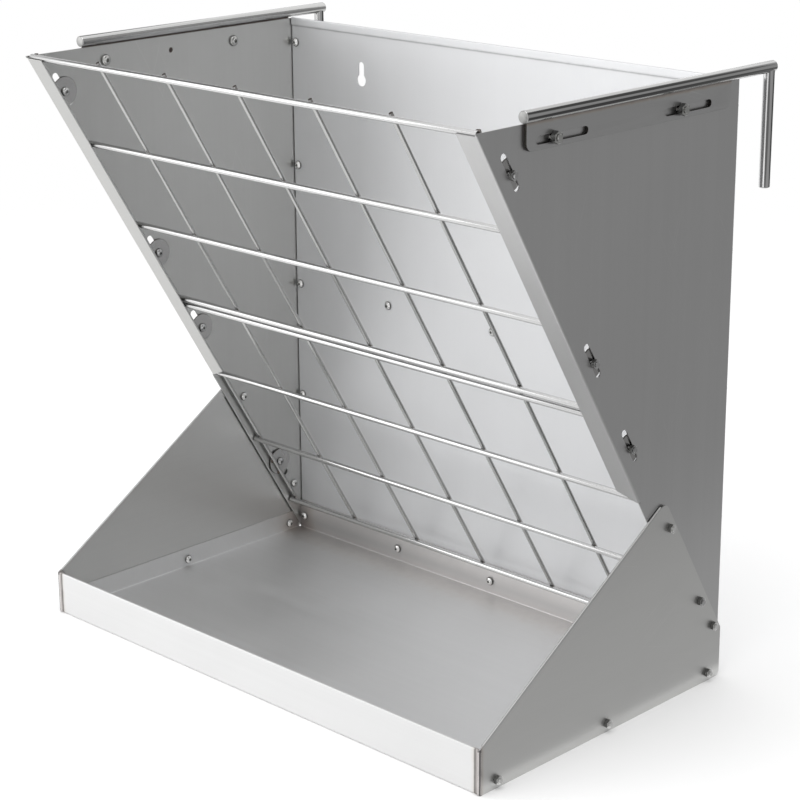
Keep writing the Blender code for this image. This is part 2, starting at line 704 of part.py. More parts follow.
def hook(name, side_name, side, parent):
    """A slotted plate with a rod along its top edge and a leg that drops behind the rail."""
    bm = bmesh.new()
    x = side * PLATE_X
    slot_depths = HOOK_SLOT_DEPTHS[side_name]
    front = slot_depths[0] + PLATE_FRONT_MARGIN
    back = slot_depths[-1] - PLATE_REAR_MARGIN
    foot = PLATE_TOP - PLATE_HEIGHT
    corners = (
        ((WALL_Y - front, foot), PLATE_CORNER_RADIUS),
        ((WALL_Y - back, foot), PLATE_CORNER_RADIUS),
        ((WALL_Y - back, PLATE_TOP), 0.0),
        ((WALL_Y - front, PLATE_TOP), 0.0),
    )
    origin = Vector((x, 0.0, 0.0))
    prism(bm, rounded(corners, CORNER_STEPS), origin, BACKWARDS, UP, PLATE_THICKNESS)
    plate = add_object(name, bm, HOOK_STEEL, parent)
    slots = bmesh.new()
    slot = slot_outline(HOOK_SLOT_LENGTH, HOOK_SLOT_WIDTH, BOLT_SIDES)
    for depth in slot_depths:
        prism(slots, slot, at_depth(x, depth, HOOK_BOLT_Z), BACKWARDS, UP, 3 * PLATE_THICKNESS)
    combine(plate, helper(name + "_slots", slots), "DIFFERENCE")
    rod = bmesh.new()
    rod_front = at_depth(x, front + ROD_OVERHANG, ROD_Z)
    round_bar(rod, rod_front, at_depth(x, -HOOK_REACH, ROD_Z), ROD_DIAMETER, ROD_SIDES)
    combine(plate, helper(name + "_rod", rod), "UNION")
    leg = bmesh.new()
    leg_top = at_depth(x, LEG_DEPTH, ROD_Z - LEG_SUNK)
    leg_foot = at_depth(x, LEG_DEPTH, ROD_Z - LEG_DROP)
    round_bar(leg, leg_top, leg_foot, LEG_DIAMETER, ROD_SIDES)
    combine(plate, helper(name + "_leg", leg), "UNION")


def hook_bolts(side_name, side):
    head_face = WEB_INNER - GAP
    nut_face = PLATE_X + PLATE_THICKNESS / 2 + GAP
    for index, depth in enumerate(HOOK_BOLT_DEPTHS[side_name]):
        seat = at_depth(side * head_face, depth, HOOK_BOLT_Z)
        fastener(f"{side_name}_hook_bolt_{index + 1}", seat, side * RIGHT, nut_face - head_face, M6)


def wing_screws(side_name, side):
    """Screws that join the wing to the side panel and to the tray's side lip."""
    nut_face = WING_X + SHEET / 2 + GAP
    panel_face = WEB_INNER - GAP
    for index, down in enumerate(WING_SCREWS):
        seat = on_slope(side * panel_face, down, WING_SCREW_LINE)
        fastener(f"{side_name}_wing_screw_{index + 1}", seat, side * RIGHT, nut_face - panel_face, M5)
    lip_face = LIP_X - SHEET / 2 - GAP
    for index, depth in enumerate(side_lip_screw_depths()):
        seat = at_depth(side * lip_face, depth, SIDE_LIP_SCREW_Z)
        fastener(f"{side_name}_lip_screw_{index + 1}", seat, side * RIGHT, nut_face - lip_face, M5)


def rear_screw(name, x, z, head_depth, nut_depth):
    fastener(name, at_depth(x, head_depth, z), BACKWARDS, head_depth - nut_depth, M5)


def rear_screws():
    """Screws through the back panel: two columns, a row across the brace and a row along the rear lip."""
    panel_face = BACK_DEPTH + SHEET / 2 + GAP
    lip_face = TRAY_REAR + SHEET + GAP
    behind_flange = -GAP
    behind_panel = BACK_DEPTH - SHEET / 2 - GAP
    for side_name, side in SIDES.items():
        for index, z in enumerate(COLUMN_SCREWS_Z):
            face = lip_face if z == LIP_SCREW_Z else panel_face
            name = f"{side_name}_column_screw_{index + 1}"
            rear_screw(name, side * COLUMN_SCREW_X, z, face, behind_flange)
    for index, x in enumerate(BRACE_SCREWS_X):
        rear_screw(f"brace_screw_{index + 1}", x, BRACE_Z, panel_face, behind_flange)
    for index, x in enumerate(REAR_LIP_SCREWS_X):
        rear_screw(f"rear_lip_screw_{index + 1}", x, LIP_SCREW_Z, lip_face, behind_panel)


for old in list(bpy.data.objects):
    bpy.data.objects.remove(old)

CASING_STEEL = metal("casing_steel", (0.62, 0.63, 0.62), 0.34)
GRID_STEEL = metal("grid_steel", (0.74, 0.74, 0.73), 0.24)
HOOK_STEEL = metal("hook_steel", (0.58, 0.58, 0.57), 0.30)
FASTENER_STEEL = metal("fastener_steel", (0.50, 0.50, 0.49), 0.28)

grid_slide = joint_empty("upper_grid_slide", clamp_point(0.0, CLAMP_BOLTS[0]))
hook_slides = {
    name: joint_empty(f"{name}_hook_slide", at_depth(side * PLATE_X, HOOK_CENTRE_DEPTHS[name], HOOK_BOLT_Z))
    for name, side in SIDES.items()
}

back_panel()
rear_brace()
tray()
grid("upper_grid", UPPER_TOP, UPPER_HEIGHT, UPPER_BAYS, grid_slide)
grid("lower_grid", LOWER_TOP, LOWER_HEIGHT, LOWER_BAYS)
for side_name, side in SIDES.items():
    side_panel(side_name, side)
    wing(f"{side_name}_wing", side)
    clamps(side_name, side, grid_slide)
    hook(f"{side_name}_hook", side_name, side, hook_slides[side_name])
    hook_bolts(side_name, side)
    wing_screws(side_name, side)
rear_screws()
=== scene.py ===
"""Wall-mounted hay feeder in folded stainless sheet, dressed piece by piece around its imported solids."""

import math
from collections import namedtuple

import bmesh
import bpy
from mathutils import Matrix, Vector


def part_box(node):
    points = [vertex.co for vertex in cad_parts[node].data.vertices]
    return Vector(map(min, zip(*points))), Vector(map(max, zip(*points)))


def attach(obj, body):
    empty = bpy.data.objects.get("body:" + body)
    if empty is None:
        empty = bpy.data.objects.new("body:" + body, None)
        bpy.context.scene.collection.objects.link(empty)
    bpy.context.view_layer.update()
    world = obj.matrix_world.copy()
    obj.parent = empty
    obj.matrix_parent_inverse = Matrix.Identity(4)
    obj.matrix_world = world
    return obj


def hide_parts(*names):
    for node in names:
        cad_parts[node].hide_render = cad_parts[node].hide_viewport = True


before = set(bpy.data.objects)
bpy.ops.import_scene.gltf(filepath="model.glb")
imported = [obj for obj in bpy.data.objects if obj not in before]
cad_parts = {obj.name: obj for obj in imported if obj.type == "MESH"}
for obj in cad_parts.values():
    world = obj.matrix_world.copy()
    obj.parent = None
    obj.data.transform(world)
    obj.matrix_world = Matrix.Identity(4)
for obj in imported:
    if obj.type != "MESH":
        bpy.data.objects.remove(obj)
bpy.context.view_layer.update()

# Back panel
# One flat sheet of 1.2 mm stainless steel with a closed hem along its top edge and two keyholes. It is
# punched and folded, then screwed to the side panels' rear flanges. Its mill finish is satin, with slow
# waves in the sheet.


def node(tree, kind, inputs, **settings):
    """Adds a node. Each input is given a value or the socket that feeds it."""
    made = tree.nodes.new(kind)
    for key, value in settings.items():
        setattr(made, key, value)
    for key, value in inputs.items():
        if isinstance(value, bpy.types.NodeSocket):
            tree.links.new(value, made.inputs[key])
        else:
            made.inputs[key].default_value = value
    return made


def calc(tree, operation, first, second=0.0, third=0.0):
    return node(tree, "ShaderNodeMath", {0: first, 1: second, 2: third}, operation=operation).outputs[0]


def vector_calc(tree, operation, first, second):
    return node(tree, "ShaderNodeVectorMath", {0: first, 1: second}, operation=operation)


def noise(tree, where, scale, detail=2.0, distortion=0.0):
    values = {"Vector": where, "Scale": scale, "Detail": detail, "Distortion": distortion}
    return node(tree, "ShaderNodeTexNoise", values).outputs["Fac"]


def swing(tree, where, **settings):
    """Noise that swings to either side of zero."""
    return calc(tree, "SUBTRACT", noise(tree, where, **settings), 0.5)


def ranged(tree, value, low, high, **settings):
    """How far a value lies between two ends, from 0 to 1."""
    values = {"Value": value, "From Min": low, "From Max": high}
    return node(tree, "ShaderNodeMapRange", values, **settings).outputs["Result"]


def blend_colours(tree, share, first, second):
    return node(tree, "ShaderNodeMix", {0: share, 6: first, 7: second}, data_type="RGBA").outputs[2]


def new_group(name, inputs, outputs):
    group = bpy.data.node_groups.new(name, "ShaderNodeTree")
    for label, kind, default in inputs:
        socket = group.interface.new_socket(label, in_out="INPUT", socket_type=kind)
        socket.default_value = default
    for label, kind in outputs:
        group.interface.new_socket(label, in_out="OUTPUT", socket_type=kind)
    return group, group.nodes.new("NodeGroupInput").outputs, group.nodes.new("NodeGroupOutput").inputs


FLOAT = "NodeSocketFloat"
VECTOR = "NodeSocketVector"
COLOUR = "NodeSocketColor"
ALONG_X = (3.0, 420.0, 420.0)
ALONG_Y = (420.0, 3.0, 420.0)
ALONG_Z = (420.0, 420.0, 3.0)
BROAD_STREAKS = 0.13
STREAK_ROUGHNESS = 0.06
CLOUD_ROUGHNESS = 0.16


def grain_group():
    """Rolling grain: fine and broad streaks along one direction, and slow clouds over the sheet."""
    inputs = (
        ("Vector", VECTOR, (0.0, 0.0, 0.0)),
        ("Stretch", VECTOR, ALONG_X),
        ("Steel", COLOUR, (0.6, 0.6, 0.6, 1.0)),
        ("Streaks", FLOAT, 0.1),
        ("Clouds", FLOAT, 0.1),
        ("Polish", FLOAT, 0.3),
    )
    outputs = (("Color", COLOUR), ("Roughness", FLOAT), ("Height", FLOAT))
    group, given, out = new_group("rolled_grain", inputs, outputs)
    along = vector_calc(group, "MULTIPLY", given["Vector"], given["Stretch"]).outputs["Vector"]
    fine = swing(group, along, scale=1.0, detail=3.0)
    broad = swing(group, along, scale=BROAD_STREAKS)
    cloud = swing(group, given["Vector"], scale=5.0, detail=3.0, distortion=0.6)
    streak = calc(group, "ADD", fine, broad)
    shade = calc(group, "MULTIPLY_ADD", streak, given["Streaks"], 1.0)
    shade = calc(group, "MULTIPLY_ADD", cloud, given["Clouds"], shade)
    tinted = node(group, "ShaderNodeVectorMath", {0: given["Steel"], "Scale": shade}, operation="SCALE")
    rough = calc(group, "MULTIPLY_ADD", streak, STREAK_ROUGHNESS, given["Polish"])
    group.links.new(tinted.outputs["Vector"], out["Color"])
    group.links.new(calc(group, "MULTIPLY_ADD", cloud, CLOUD_ROUGHNESS, rough), out["Roughness"])
    group.links.new(fine, out["Height"])
    return group


SCRATCH_TURNS = (-0.5, 0.3)
SCRATCH_RARITY = 0.78


def handling_group():
    """Light handling marks: sparse straight hairlines within the sheet's face, and soft smears."""
    inputs = (
        ("Vector", VECTOR, (0.0, 0.0, 0.0)),
        ("Stretch", VECTOR, ALONG_X),
        ("Face", VECTOR, (1.0, 0.0, 0.0)),
        ("Amount", FLOAT, 1.0),
    )
    group, given, out = new_group("handling_marks", inputs, (("Scratches", FLOAT), ("Smears", FLOAT)))
    hairlines = 0.0
    for turn in SCRATCH_TURNS:
        turns = {"Vector": given["Vector"], "Axis": given["Face"], "Angle": turn}
        turned = node(group, "ShaderNodeVectorRotate", turns).outputs[0]
        drawn = vector_calc(group, "MULTIPLY", turned, given["Stretch"]).outputs["Vector"]
        scored = calc(group, "GREATER_THAN", noise(group, drawn, scale=2.5, detail=0.0), SCRATCH_RARITY)
        hairlines = calc(group, "ADD", hairlines, scored)
    patches = ranged(group, noise(group, given["Vector"], scale=11.0), 0.55, 0.7)
    scratches = calc(group, "MULTIPLY", hairlines, patches)
    smears = ranged(group, noise(group, given["Vector"], scale=7.0, detail=4.0, distortion=1.5), 0.5, 0.75)
    group.links.new(calc(group, "MULTIPLY", scratches, given["Amount"]), out["Scratches"])
    group.links.new(calc(group, "MULTIPLY", smears, given["Amount"]), out["Smears"])
    return group


STRAW, BROWN = (0.62, 0.56, 0.47), (0.42, 0.29, 0.18)
DARK_BROWN, BLUE_BLACK = (0.15, 0.09, 0.07), (0.04, 0.033, 0.035)
HEAT_STOPS = ((0.0, STRAW), (0.45, BROWN), (0.75, DARK_BROWN), (1.0, BLUE_BLACK))
LEAST_FADE, FADE_SPREAD = 0.7, 0.6
MASK_POWER = 1.5


def heat_and_shade_group():
    """Heat tint beside a weld line: blue-black, brown and straw, fading out over its uneven reach. The same
    band also lays painted shade, in these colours or in the near-black given to it.
    """
    inputs = (
        ("Vector", VECTOR, (0.0, 0.0, 0.0)),
        ("Point", VECTOR, (0.0, 0.0, 0.0)),
        ("Axis", VECTOR, (0.0, 0.0, 1.0)),
        ("Reach", FLOAT, 0.02),
    )
    group, given, out = new_group("heat_tint_and_shade", inputs, (("Color", COLOUR), ("Mask", FLOAT)))
    offset = vector_calc(group, "SUBTRACT", given["Vector"], given["Point"]).outputs["Vector"]
    across = vector_calc(group, "CROSS_PRODUCT", offset, given["Axis"]).outputs["Vector"]
    distance = node(group, "ShaderNodeVectorMath", {0: across}, operation="LENGTH").outputs["Value"]
    fade = calc(group, "MULTIPLY_ADD", noise(group, given["Vector"], scale=90.0), FADE_SPREAD, LEAST_FADE)
    away = calc(group, "DIVIDE", calc(group, "MULTIPLY", distance, fade), given["Reach"])
    near = node(group, "ShaderNodeClamp", {"Value": calc(group, "SUBTRACT", 1.0, away)}).outputs[0]
    ramp = node(group, "ShaderNodeValToRGB", {"Fac": near})
    stops = ramp.color_ramp.elements
    stops[0].color = (*HEAT_STOPS[0][1], 1.0)
    stops[1].color = (*HEAT_STOPS[-1][1], 1.0)
    for place, colour in HEAT_STOPS[1:-1]:
        stops.new(place).color = (*colour, 1.0)
    group.links.new(ramp.outputs["Color"], out["Color"])
    group.links.new(calc(group, "POWER", near, MASK_POWER), out["Mask"])
    return group


GRAIN = grain_group()
HANDLING = handling_group()
HEAT_AND_SHADE = heat_and_shade_group()

Band = namedtuple("Band", "point axis reach share")
PaintedDarkReflection = namedtuple("PaintedDarkReflection", "facing half_angle share")
# Near-black for dark weld toes at joints, and for painted shade and painted dark reflections.
DIRT_AND_SHADE = (0.03, 0.03, 0.03, 1.0)
SCRATCHED = (0.86, 0.86, 0.85, 1.0)
SCRATCH_SHARE = 0.35
SMEAR_ROUGHNESS = 0.08
WAVE_SCALE = 6.0


def laid_band(tree, tone, where, band, colour=None):
    """Lays one band over the tone in the heat tint's colours, or in a colour given: near-black for dark weld
    toes at joints, and for painted shade along creases and edges.
    """
    values = {"Vector": where, "Point": band.point, "Axis": band.axis, "Reach": band.reach}
    heat = node(tree, "ShaderNodeGroup", values, node_tree=HEAT_AND_SHADE)
    share = calc(tree, "MULTIPLY", heat.outputs["Mask"], band.share)
    return blend_colours(tree, share, tone, colour or heat.outputs["Color"])


def laid_painted_reflection(tree, tone, line):
    """Lays over the tone one painted dark reflection along a rod: a dark band on the side that faces the
    given way.
    """
    normal = tree.nodes.new("ShaderNodeTexCoord").outputs["Normal"]
    faced = vector_calc(tree, "DOT_PRODUCT", normal, Vector(line.facing).normalized()).outputs["Value"]
    edge = math.cos(math.radians(line.half_angle))
    share = calc(tree, "MULTIPLY", ranged(tree, faced, edge, (1.0 + edge) / 2), line.share)
    return blend_colours(tree, share, tone, DIRT_AND_SHADE)


def steel(name, colour, polish, grain, streaks=0.10, clouds=0.10, marks=0.5, waves=0.0, face=(1.0, 0.0, 0.0),
          heat_and_shade=(), dirt_and_shade=(), lines=()):
    """A stainless steel finish, with the heat tint and dark weld toes that its piece carries, and the painted
    shade and painted dark reflections that some pieces are given.
    """
    material = bpy.data.materials.new(name)
    material.use_nodes = True
    tree = material.node_tree
    shader = tree.nodes["Principled BSDF"]
    shader.inputs["Metallic"].default_value = 1.0
    where = tree.nodes.new("ShaderNodeTexCoord").outputs["Object"]
    rolled = node(tree, "ShaderNodeGroup", {
        "Vector": where, "Stretch": grain, "Steel": (*colour, 1.0), "Streaks": streaks, "Clouds": clouds,
        "Polish": polish,
    }, node_tree=GRAIN)
    handled = node(tree, "ShaderNodeGroup", {
        "Vector": where, "Stretch": grain, "Face": face, "Amount": marks,
    }, node_tree=HANDLING)
    scratched = calc(tree, "MULTIPLY", handled.outputs["Scratches"], SCRATCH_SHARE)
    tone = blend_colours(tree, scratched, rolled.outputs["Color"], SCRATCHED)
    for band in heat_and_shade:
        tone = laid_band(tree, tone, where, band)
    for band in dirt_and_shade:
        tone = laid_band(tree, tone, where, band, DIRT_AND_SHADE)
    for line in lines:
        tone = laid_painted_reflection(tree, tone, line)
    tree.links.new(tone, shader.inputs["Base Color"])
    smears = handled.outputs["Smears"]
    rough = calc(tree, "MULTIPLY_ADD", smears, SMEAR_ROUGHNESS, rolled.outputs["Roughness"])
    tree.links.new(rough, shader.inputs["Roughness"])
    height = rolled.outputs["Height"]
    if waves:
        height = calc(tree, "MULTIPLY_ADD", noise(tree, where, WAVE_SCALE, detail=1.0), waves, height)
    bump = node(tree, "ShaderNodeBump", {"Height": height, "Strength": 0.06, "Distance": 0.0004})
    tree.links.new(bump.outputs["Normal"], shader.inputs["Normal"])
    return material


MERGED = 0.00001
FLATNESS = math.radians(0.5)
SHARP = math.radians(60.0)
SHEARED_BREAK = 0.00018
UPWARD, SIDEWARD = 0.4, 0.7


def as_mesh(name, bm):
    mesh = bpy.data.meshes.new(name)
    bm.to_mesh(mesh)
    bm.free()
    return mesh


def finished(name, bm, materials, body, stands_for, crease=35.0):
    """Makes the shape an object that rides on its body and stands for its solids."""
    mesh = as_mesh(name, bm)
    for material in materials:
        mesh.materials.append(material)
    mesh.shade_smooth()
    mesh.set_sharp_from_angle(angle=math.radians(crease))
    piece = bpy.data.objects.new(name, mesh)
    bpy.context.scene.collection.objects.link(piece)
    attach(piece, body)
    if stands_for:
        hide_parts(*stands_for)
    return piece


def solid_copy(name):
    """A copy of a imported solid, its loose triangles merged into one skin."""
    bm = bmesh.new()
    bm.from_mesh(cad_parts[name].data)
    bmesh.ops.remove_doubles(bm, verts=bm.verts, dist=MERGED)
    return bm


def flattened(bm):
    """Joins the triangles of each flat face, and gives back the shape's sharp edges."""
    bmesh.ops.dissolve_limit(bm, angle_limit=FLATNESS, verts=bm.verts, edges=bm.edges)
    return [line for line in bm.edges if len(line.link_faces) == 2 and line.calc_face_angle() > SHARP]


def break_edges(bm, edges, offset, segments=2, **settings):
    bmesh.ops.bevel(
        bm, geom=edges, offset=offset, segments=segments, affect="EDGES", profile=0.5, material=-1, **settings
    )


def dressed_sheet(name, material, upward_shade_material=None):
    """The folded sheet as its solid has it, with the sheared edges just broken, as deburring leaves them. A
    second, darker finish, where one is given, goes on the faces that look up: painted shade.
    """
    bm = solid_copy(name)
    break_edges(bm, flattened(bm), SHEARED_BREAK, segments=1, clamp_overlap=True)
    materials = [material]
    if upward_shade_material:
        materials.append(upward_shade_material)
        # Faces that look up take the darker second finish: painted shade.
        for face in bm.faces:
            face.material_index = int(face.normal.z > UPWARD and abs(face.normal.x) < SIDEWARD)
    sheet = finished(name + "_sheet", bm, materials, "feeder", [name])
    flats = sheet.modifiers.new("flats", "WEIGHTED_NORMAL")
    flats.keep_sharp = True
    flats.weight = 100


ACROSS = (1.0, 0.0, 0.0)
HEM_DEPTH = 0.008
HEM_STEP = 0.0015
panel_low, panel_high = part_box("back_panel")
# A dark line along the hem's lower edge: painted shade in the crease.
hem_painted_shade = Band((0.0, panel_low.y + HEM_STEP, panel_high.z - HEM_DEPTH), ACROSS, reach=0.0024, share=0.55)
back_steel = steel("back_sheet_satin", (0.775, 0.78, 0.79), polish=0.62, grain=ALONG_Z, streaks=0.03,
                   clouds=0.12, marks=0.4, waves=0.5, face=(0.0, 1.0, 0.0), dirt_and_shade=[hem_painted_shade])
dressed_sheet("back_panel", back_steel)

# Side panels
# Two mirrored sheets of the same steel, with a flange turned in along the slanted front and another behind
# the back panel. The clamp slots are punched before folding, and the grain runs up the sheet.
# The left sheet's tone is set a little darker than the right's: painted shade.
SIDE_TONES = {"left": (0.515, 0.515, 0.505), "right": (0.53, 0.53, 0.53)}
for side, tone in SIDE_TONES.items():
    side_steel = steel(side + "_side_satin", tone, polish=0.33, grain=ALONG_Z, streaks=0.05, clouds=0.06)
    dressed_sheet(side + "_side_panel", side_steel)

# Brace
# A plain flat strip of the same sheet, cut to length and drilled. It lies across the back of the back
# panel, and the middle row of screws holds it.
brace_steel = steel("brace_satin", (0.58, 0.58, 0.58), polish=0.34, grain=ALONG_X)
dressed_sheet("rear_brace", brace_steel)

# Tray
# One sheet folded up on four sides: a tall front lip with a closed hem, low side lips and a rear lip. Its
# front corners are welded, which leaves brown heat tint beside the bead.
UPRIGHT = (0.0, 0.0, 1.0)
TOE_INSET = 0.0043
REAR_LIP_CREASE_Z = 0.012
tray_low, tray_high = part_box("tray")
tray_tints, tray_toes = [], []
for x in (tray_low.x, tray_high.x):
    toe_x = math.copysign(abs(x) - TOE_INSET, x)
    tray_tints.append(Band((x, tray_low.y, 0.0), UPRIGHT, reach=0.010, share=0.7))
    tray_tints.append(Band((x, tray_high.y, 0.0), UPRIGHT, reach=0.035, share=0.5))
    tray_toes.append(Band((toe_x, tray_low.y, 0.0), UPRIGHT, reach=0.0022, share=0.9))
# A brown darkening along the rear crease, across the back of the floor and up the rear lip.
tray_tints.append(Band((0.0, tray_high.y, REAR_LIP_CREASE_Z), ACROSS, reach=0.05, share=0.35))
tray_steel = steel("tray_satin", (0.735, 0.735, 0.735), polish=0.47, grain=ALONG_X, streaks=0.05, clouds=0.08,
                   face=(0.0, 0.0, 1.0), heat_and_shade=tray_tints, dirt_and_shade=tray_toes)
dressed_sheet("tray", tray_steel)

# Corner welds
# A rippled bead up each front corner, where the front lip meets the wing, bright along its crown and dark
# brown along both toes.
SIDES = {"left": -1.0, "right": 1.0}
BEAD_RADIUS = 0.0019
BEAD_PROUD = 0.0005
BEAD_INSET = 0.0017
BEAD_START = 0.0008
BEAD_SHORT = 0.003
RIPPLE = 0.0011
RIPPLE_CREST = 0.4
RIPPLE_VALLEY = 0.90
BEAD_TIP = (0.6, 1.2)
BEAD_GRAIN = (500.0, 500.0, 900.0)
CORE = 0.0001


def spun(profile, steps):
    """A closed profile of (radius, height) turned all the way round the upright axis."""
    bm = bmesh.new()
    verts = [bm.verts.new((radius, 0.0, height)) for radius, height in profile]
    lines = [bm.edges.new((verts[index - 1], verts[index])) for index in range(len(verts))]
    bmesh.ops.spin(bm, geom=verts + lines, cent=(0.0, 0.0, 0.0), axis=UPRIGHT, angle=math.tau, steps=steps,
                   use_merge=True)
    bmesh.ops.recalc_face_normals(bm, faces=bm.faces)
    return bm


def wing_face(side):
    """Where across the feeder a wing's outer face lies."""
    wing_low, wing_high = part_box(side + "_wing")
    return wing_high.x if SIDES[side] > 0.0 else wing_low.x


for side, outward in SIDES.items():
    edge = wing_face(side)
    profile = [(CORE, BEAD_START)]
    for index in range(int((tray_high.z - BEAD_SHORT) / RIPPLE)):
        height = BEAD_START + index * RIPPLE
        profile += [(BEAD_RADIUS * RIPPLE_VALLEY, height), (BEAD_RADIUS, height + RIPPLE * RIPPLE_CREST)]
    profile += [(BEAD_RADIUS * BEAD_TIP[0], height + RIPPLE), (CORE, height + RIPPLE * BEAD_TIP[1])]
    bm = spun(profile, steps=24)
    bead_y = tray_low.y - BEAD_PROUD + BEAD_RADIUS
    bmesh.ops.translate(bm, verts=bm.verts, vec=(edge - outward * BEAD_INSET, bead_y, 0.0))
    toe = Band((edge, tray_low.y, 0.0), UPRIGHT, reach=0.0024, share=0.95)
    bead_steel = steel(side + "_corner_bead", (0.70, 0.67, 0.66), polish=0.30, grain=BEAD_GRAIN, streaks=0.3,
                       clouds=0.3, dirt_and_shade=[toe])
    finished(side + "_corner_weld", bm, [bead_steel], "feeder", [], crease=50.0)

# Wings
# Two outer plates of the same sheet that close the tray's ends, each with a closed hem inside its sloping
# top edge. They are screwed to the side panels and the tray's side lips, and welded to its front lip.
for side in SIDES:
    corner = (wing_face(side), tray_low.y, 0.0)
    wing_steel = steel(side + "_wing_satin", (0.62, 0.62, 0.61), polish=0.36, grain=ALONG_Y, streaks=0.04,
                       clouds=0.05, heat_and_shade=[Band(corner, UPRIGHT, reach=0.007, share=0.6)],
                       dirt_and_shade=[Band(corner, UPRIGHT, reach=0.0030, share=0.9)])
    # The wing's upward faces, along its sloping top edge and hem, take this darker tone: painted shade.
    wing_top_painted_shade = steel(side + "_wing_top_shade", (0.46, 0.46, 0.455), polish=0.5, grain=ALONG_Y)
    dressed_sheet(side + "_wing", wing_steel, wing_top_painted_shade)

# Grids
# Two welded grids of drawn bar: four 6 mm cross bars in front and seven 4 mm wires behind them, spot welded
# at each crossing, with sheared ends.
SLOPE_TOP = Vector((0.0, -0.2025, 0.5895))
SLOPE_RUN, SLOPE_DROP = 0.3533, 0.588
SLANT = math.atan2(SLOPE_RUN, SLOPE_DROP)
DOWN = Vector((0.0, math.sin(SLANT), -math.cos(SLANT)))
INWARD = Vector((0.0, math.cos(SLANT), math.sin(SLANT)))
BAR_RADIUS = 0.003
BAR_SIDES = 28
BAR_HALF = 0.2946
BAR_INSET = 0.0045
BAR_BREAK = 0.0004
WIRE_RADIUS = 0.002
WIRE_SIDES = 20
WIRE_INSET = 0.0090
WIRE_BREAK = 0.0003
WIRE_SPAN = 0.2917
WIRES = 7
OVERHANG = 0.0028
LEAN = 0.001
WELD_SEAT = 0.93
CROSSING_WELD = (0.0031, 0.0009, 0.0024)
WELD_GRAIN = (90.0, 90.0, 90.0)
BAR, WIRE, END, WELD = range(4)
# Each grid's top bar from the top of the slope, its bars from there, and the body that it rides on.
GRIDS = {
    "upper_grid": (0.0042, (0.0, 0.1073, 0.2153, 0.31931), "upper_grid"),
    "lower_grid": (0.33151, (0.0, 0.1064, 0.2126, 0.31387), "feeder"),
}


def on_slope(x, down, inward):
    place = SLOPE_TOP + DOWN * down + INWARD * inward
    place.x = x
    return place


def rod(bm, start, end, radius, sides, soften, side_material, cap_material):
    """A drawn bar between two points, with its end rims broken."""
    run = end - start
    place = run.to_track_quat("Z", "X").to_matrix().to_4x4()
    place.translation = (start + end) / 2
    made = bmesh.ops.create_cone(
        bm, cap_ends=True, segments=sides, radius1=radius, radius2=radius, depth=run.length, matrix=place
    )["verts"]
    faces = {face for vert in made for face in vert.link_faces}
    caps = [face for face in faces if len(face.verts) == sides]
    for face in faces:
        face.material_index = cap_material if face in caps else side_material
    break_edges(bm, [line for cap in caps for line in cap.edges], soften)


def weld_spot(bm, place, size, material_index):
    """A flattened bead of weld metal where two pieces touch."""
    turn = Matrix.Translation(place) @ Matrix.Rotation(-SLANT, 4, "X") @ Matrix.Diagonal((*size, 1.0))
    made = bmesh.ops.create_icosphere(bm, subdivisions=2, radius=1.0, matrix=turn)["verts"]
    for face in {face for vert in made for face in vert.link_faces}:
        face.material_index = material_index


grid_finishes = [
    steel("drawn_bar_bright", (0.60, 0.60, 0.60), polish=0.20, grain=ALONG_X, streaks=0.25, clouds=0.06,
          marks=0.2),
    # The wires' tone, darker than the bars', is painted shade.
    steel("drawn_wire", (0.46, 0.46, 0.455), polish=0.22, grain=ALONG_Z, streaks=0.2, marks=0.2),
    steel("sheared_bar_end", (0.10, 0.09, 0.085), polish=0.55, grain=ALONG_X, streaks=0.3, clouds=0.4),
    steel("grid_weld_bead", (0.13, 0.11, 0.10), polish=0.42, grain=WELD_GRAIN, streaks=0.7, clouds=0.4),
]
wire_pitch = 2 * WIRE_SPAN / (WIRES - 1)
wire_places = [index * wire_pitch - WIRE_SPAN for index in range(WIRES)]
for name, (top, steps, body) in GRIDS.items():
    bm = bmesh.new()
    height = steps[-1]
    for step in steps:
        inset = BAR_INSET + LEAN * step / height
        left_end, right_end = (on_slope(x, top + step, inset) for x in (-BAR_HALF, BAR_HALF))
        rod(bm, left_end, right_end, BAR_RADIUS, BAR_SIDES, BAR_BREAK, BAR, END)
        for x in wire_places:
            weld_spot(bm, on_slope(x, top + step, inset + BAR_RADIUS * WELD_SEAT), CROSSING_WELD, WELD)
    for x in wire_places:
        outermost = x in (wire_places[0], wire_places[-1])
        head = on_slope(x, top if outermost else top - OVERHANG, WIRE_INSET)
        foot = on_slope(x, top + height + OVERHANG, WIRE_INSET + LEAN)
        rod(bm, head, foot, WIRE_RADIUS, WIRE_SIDES, WIRE_BREAK, WIRE, END)
    finished(name + "_bars", bm, grid_finishes, body, [name], crease=40.0)

# Clamp washers
# Wide plain washers, stamped from sheet, that are the grids' lugs: the outer wires are welded across them,
# and the clamp bolts go through them.
WASHER_BORE = 0.0028
WASHER_BREAK = 0.0003
LUG_LINE = 0.017
LUG_WELD_REACH = 0.009
LUG_WELD_LIFT = 0.0003
LUG_WELD = (0.0011, 0.0022, 0.0034)
LUG_WELD_GRAIN = (150.0, 150.0, 150.0)
STAMPED_GRAIN = (60.0, 60.0, 60.0)
FLAT_FACE = 0.8
WASHER_FACE, LUG_BEAD, WASHER_RIM = range(3)
CLAMP_BODIES = {1: "upper_grid", 2: "upper_grid", 3: "feeder", 4: "feeder"}
washer_finishes = [
    steel("washer_stamped", (0.42, 0.415, 0.41), polish=0.24, grain=STAMPED_GRAIN, streaks=0.12, clouds=0.45,
          marks=1.0),
    steel("lug_weld_bead", (0.15, 0.125, 0.11), polish=0.4, grain=LUG_WELD_GRAIN, streaks=0.6, clouds=0.4),
    # The washers' edge faces are near-black: painted shade.
    steel("washer_rim_painted_shade", (0.10, 0.095, 0.09), polish=0.45, grain=WELD_GRAIN, streaks=0.4, clouds=0.4),
]
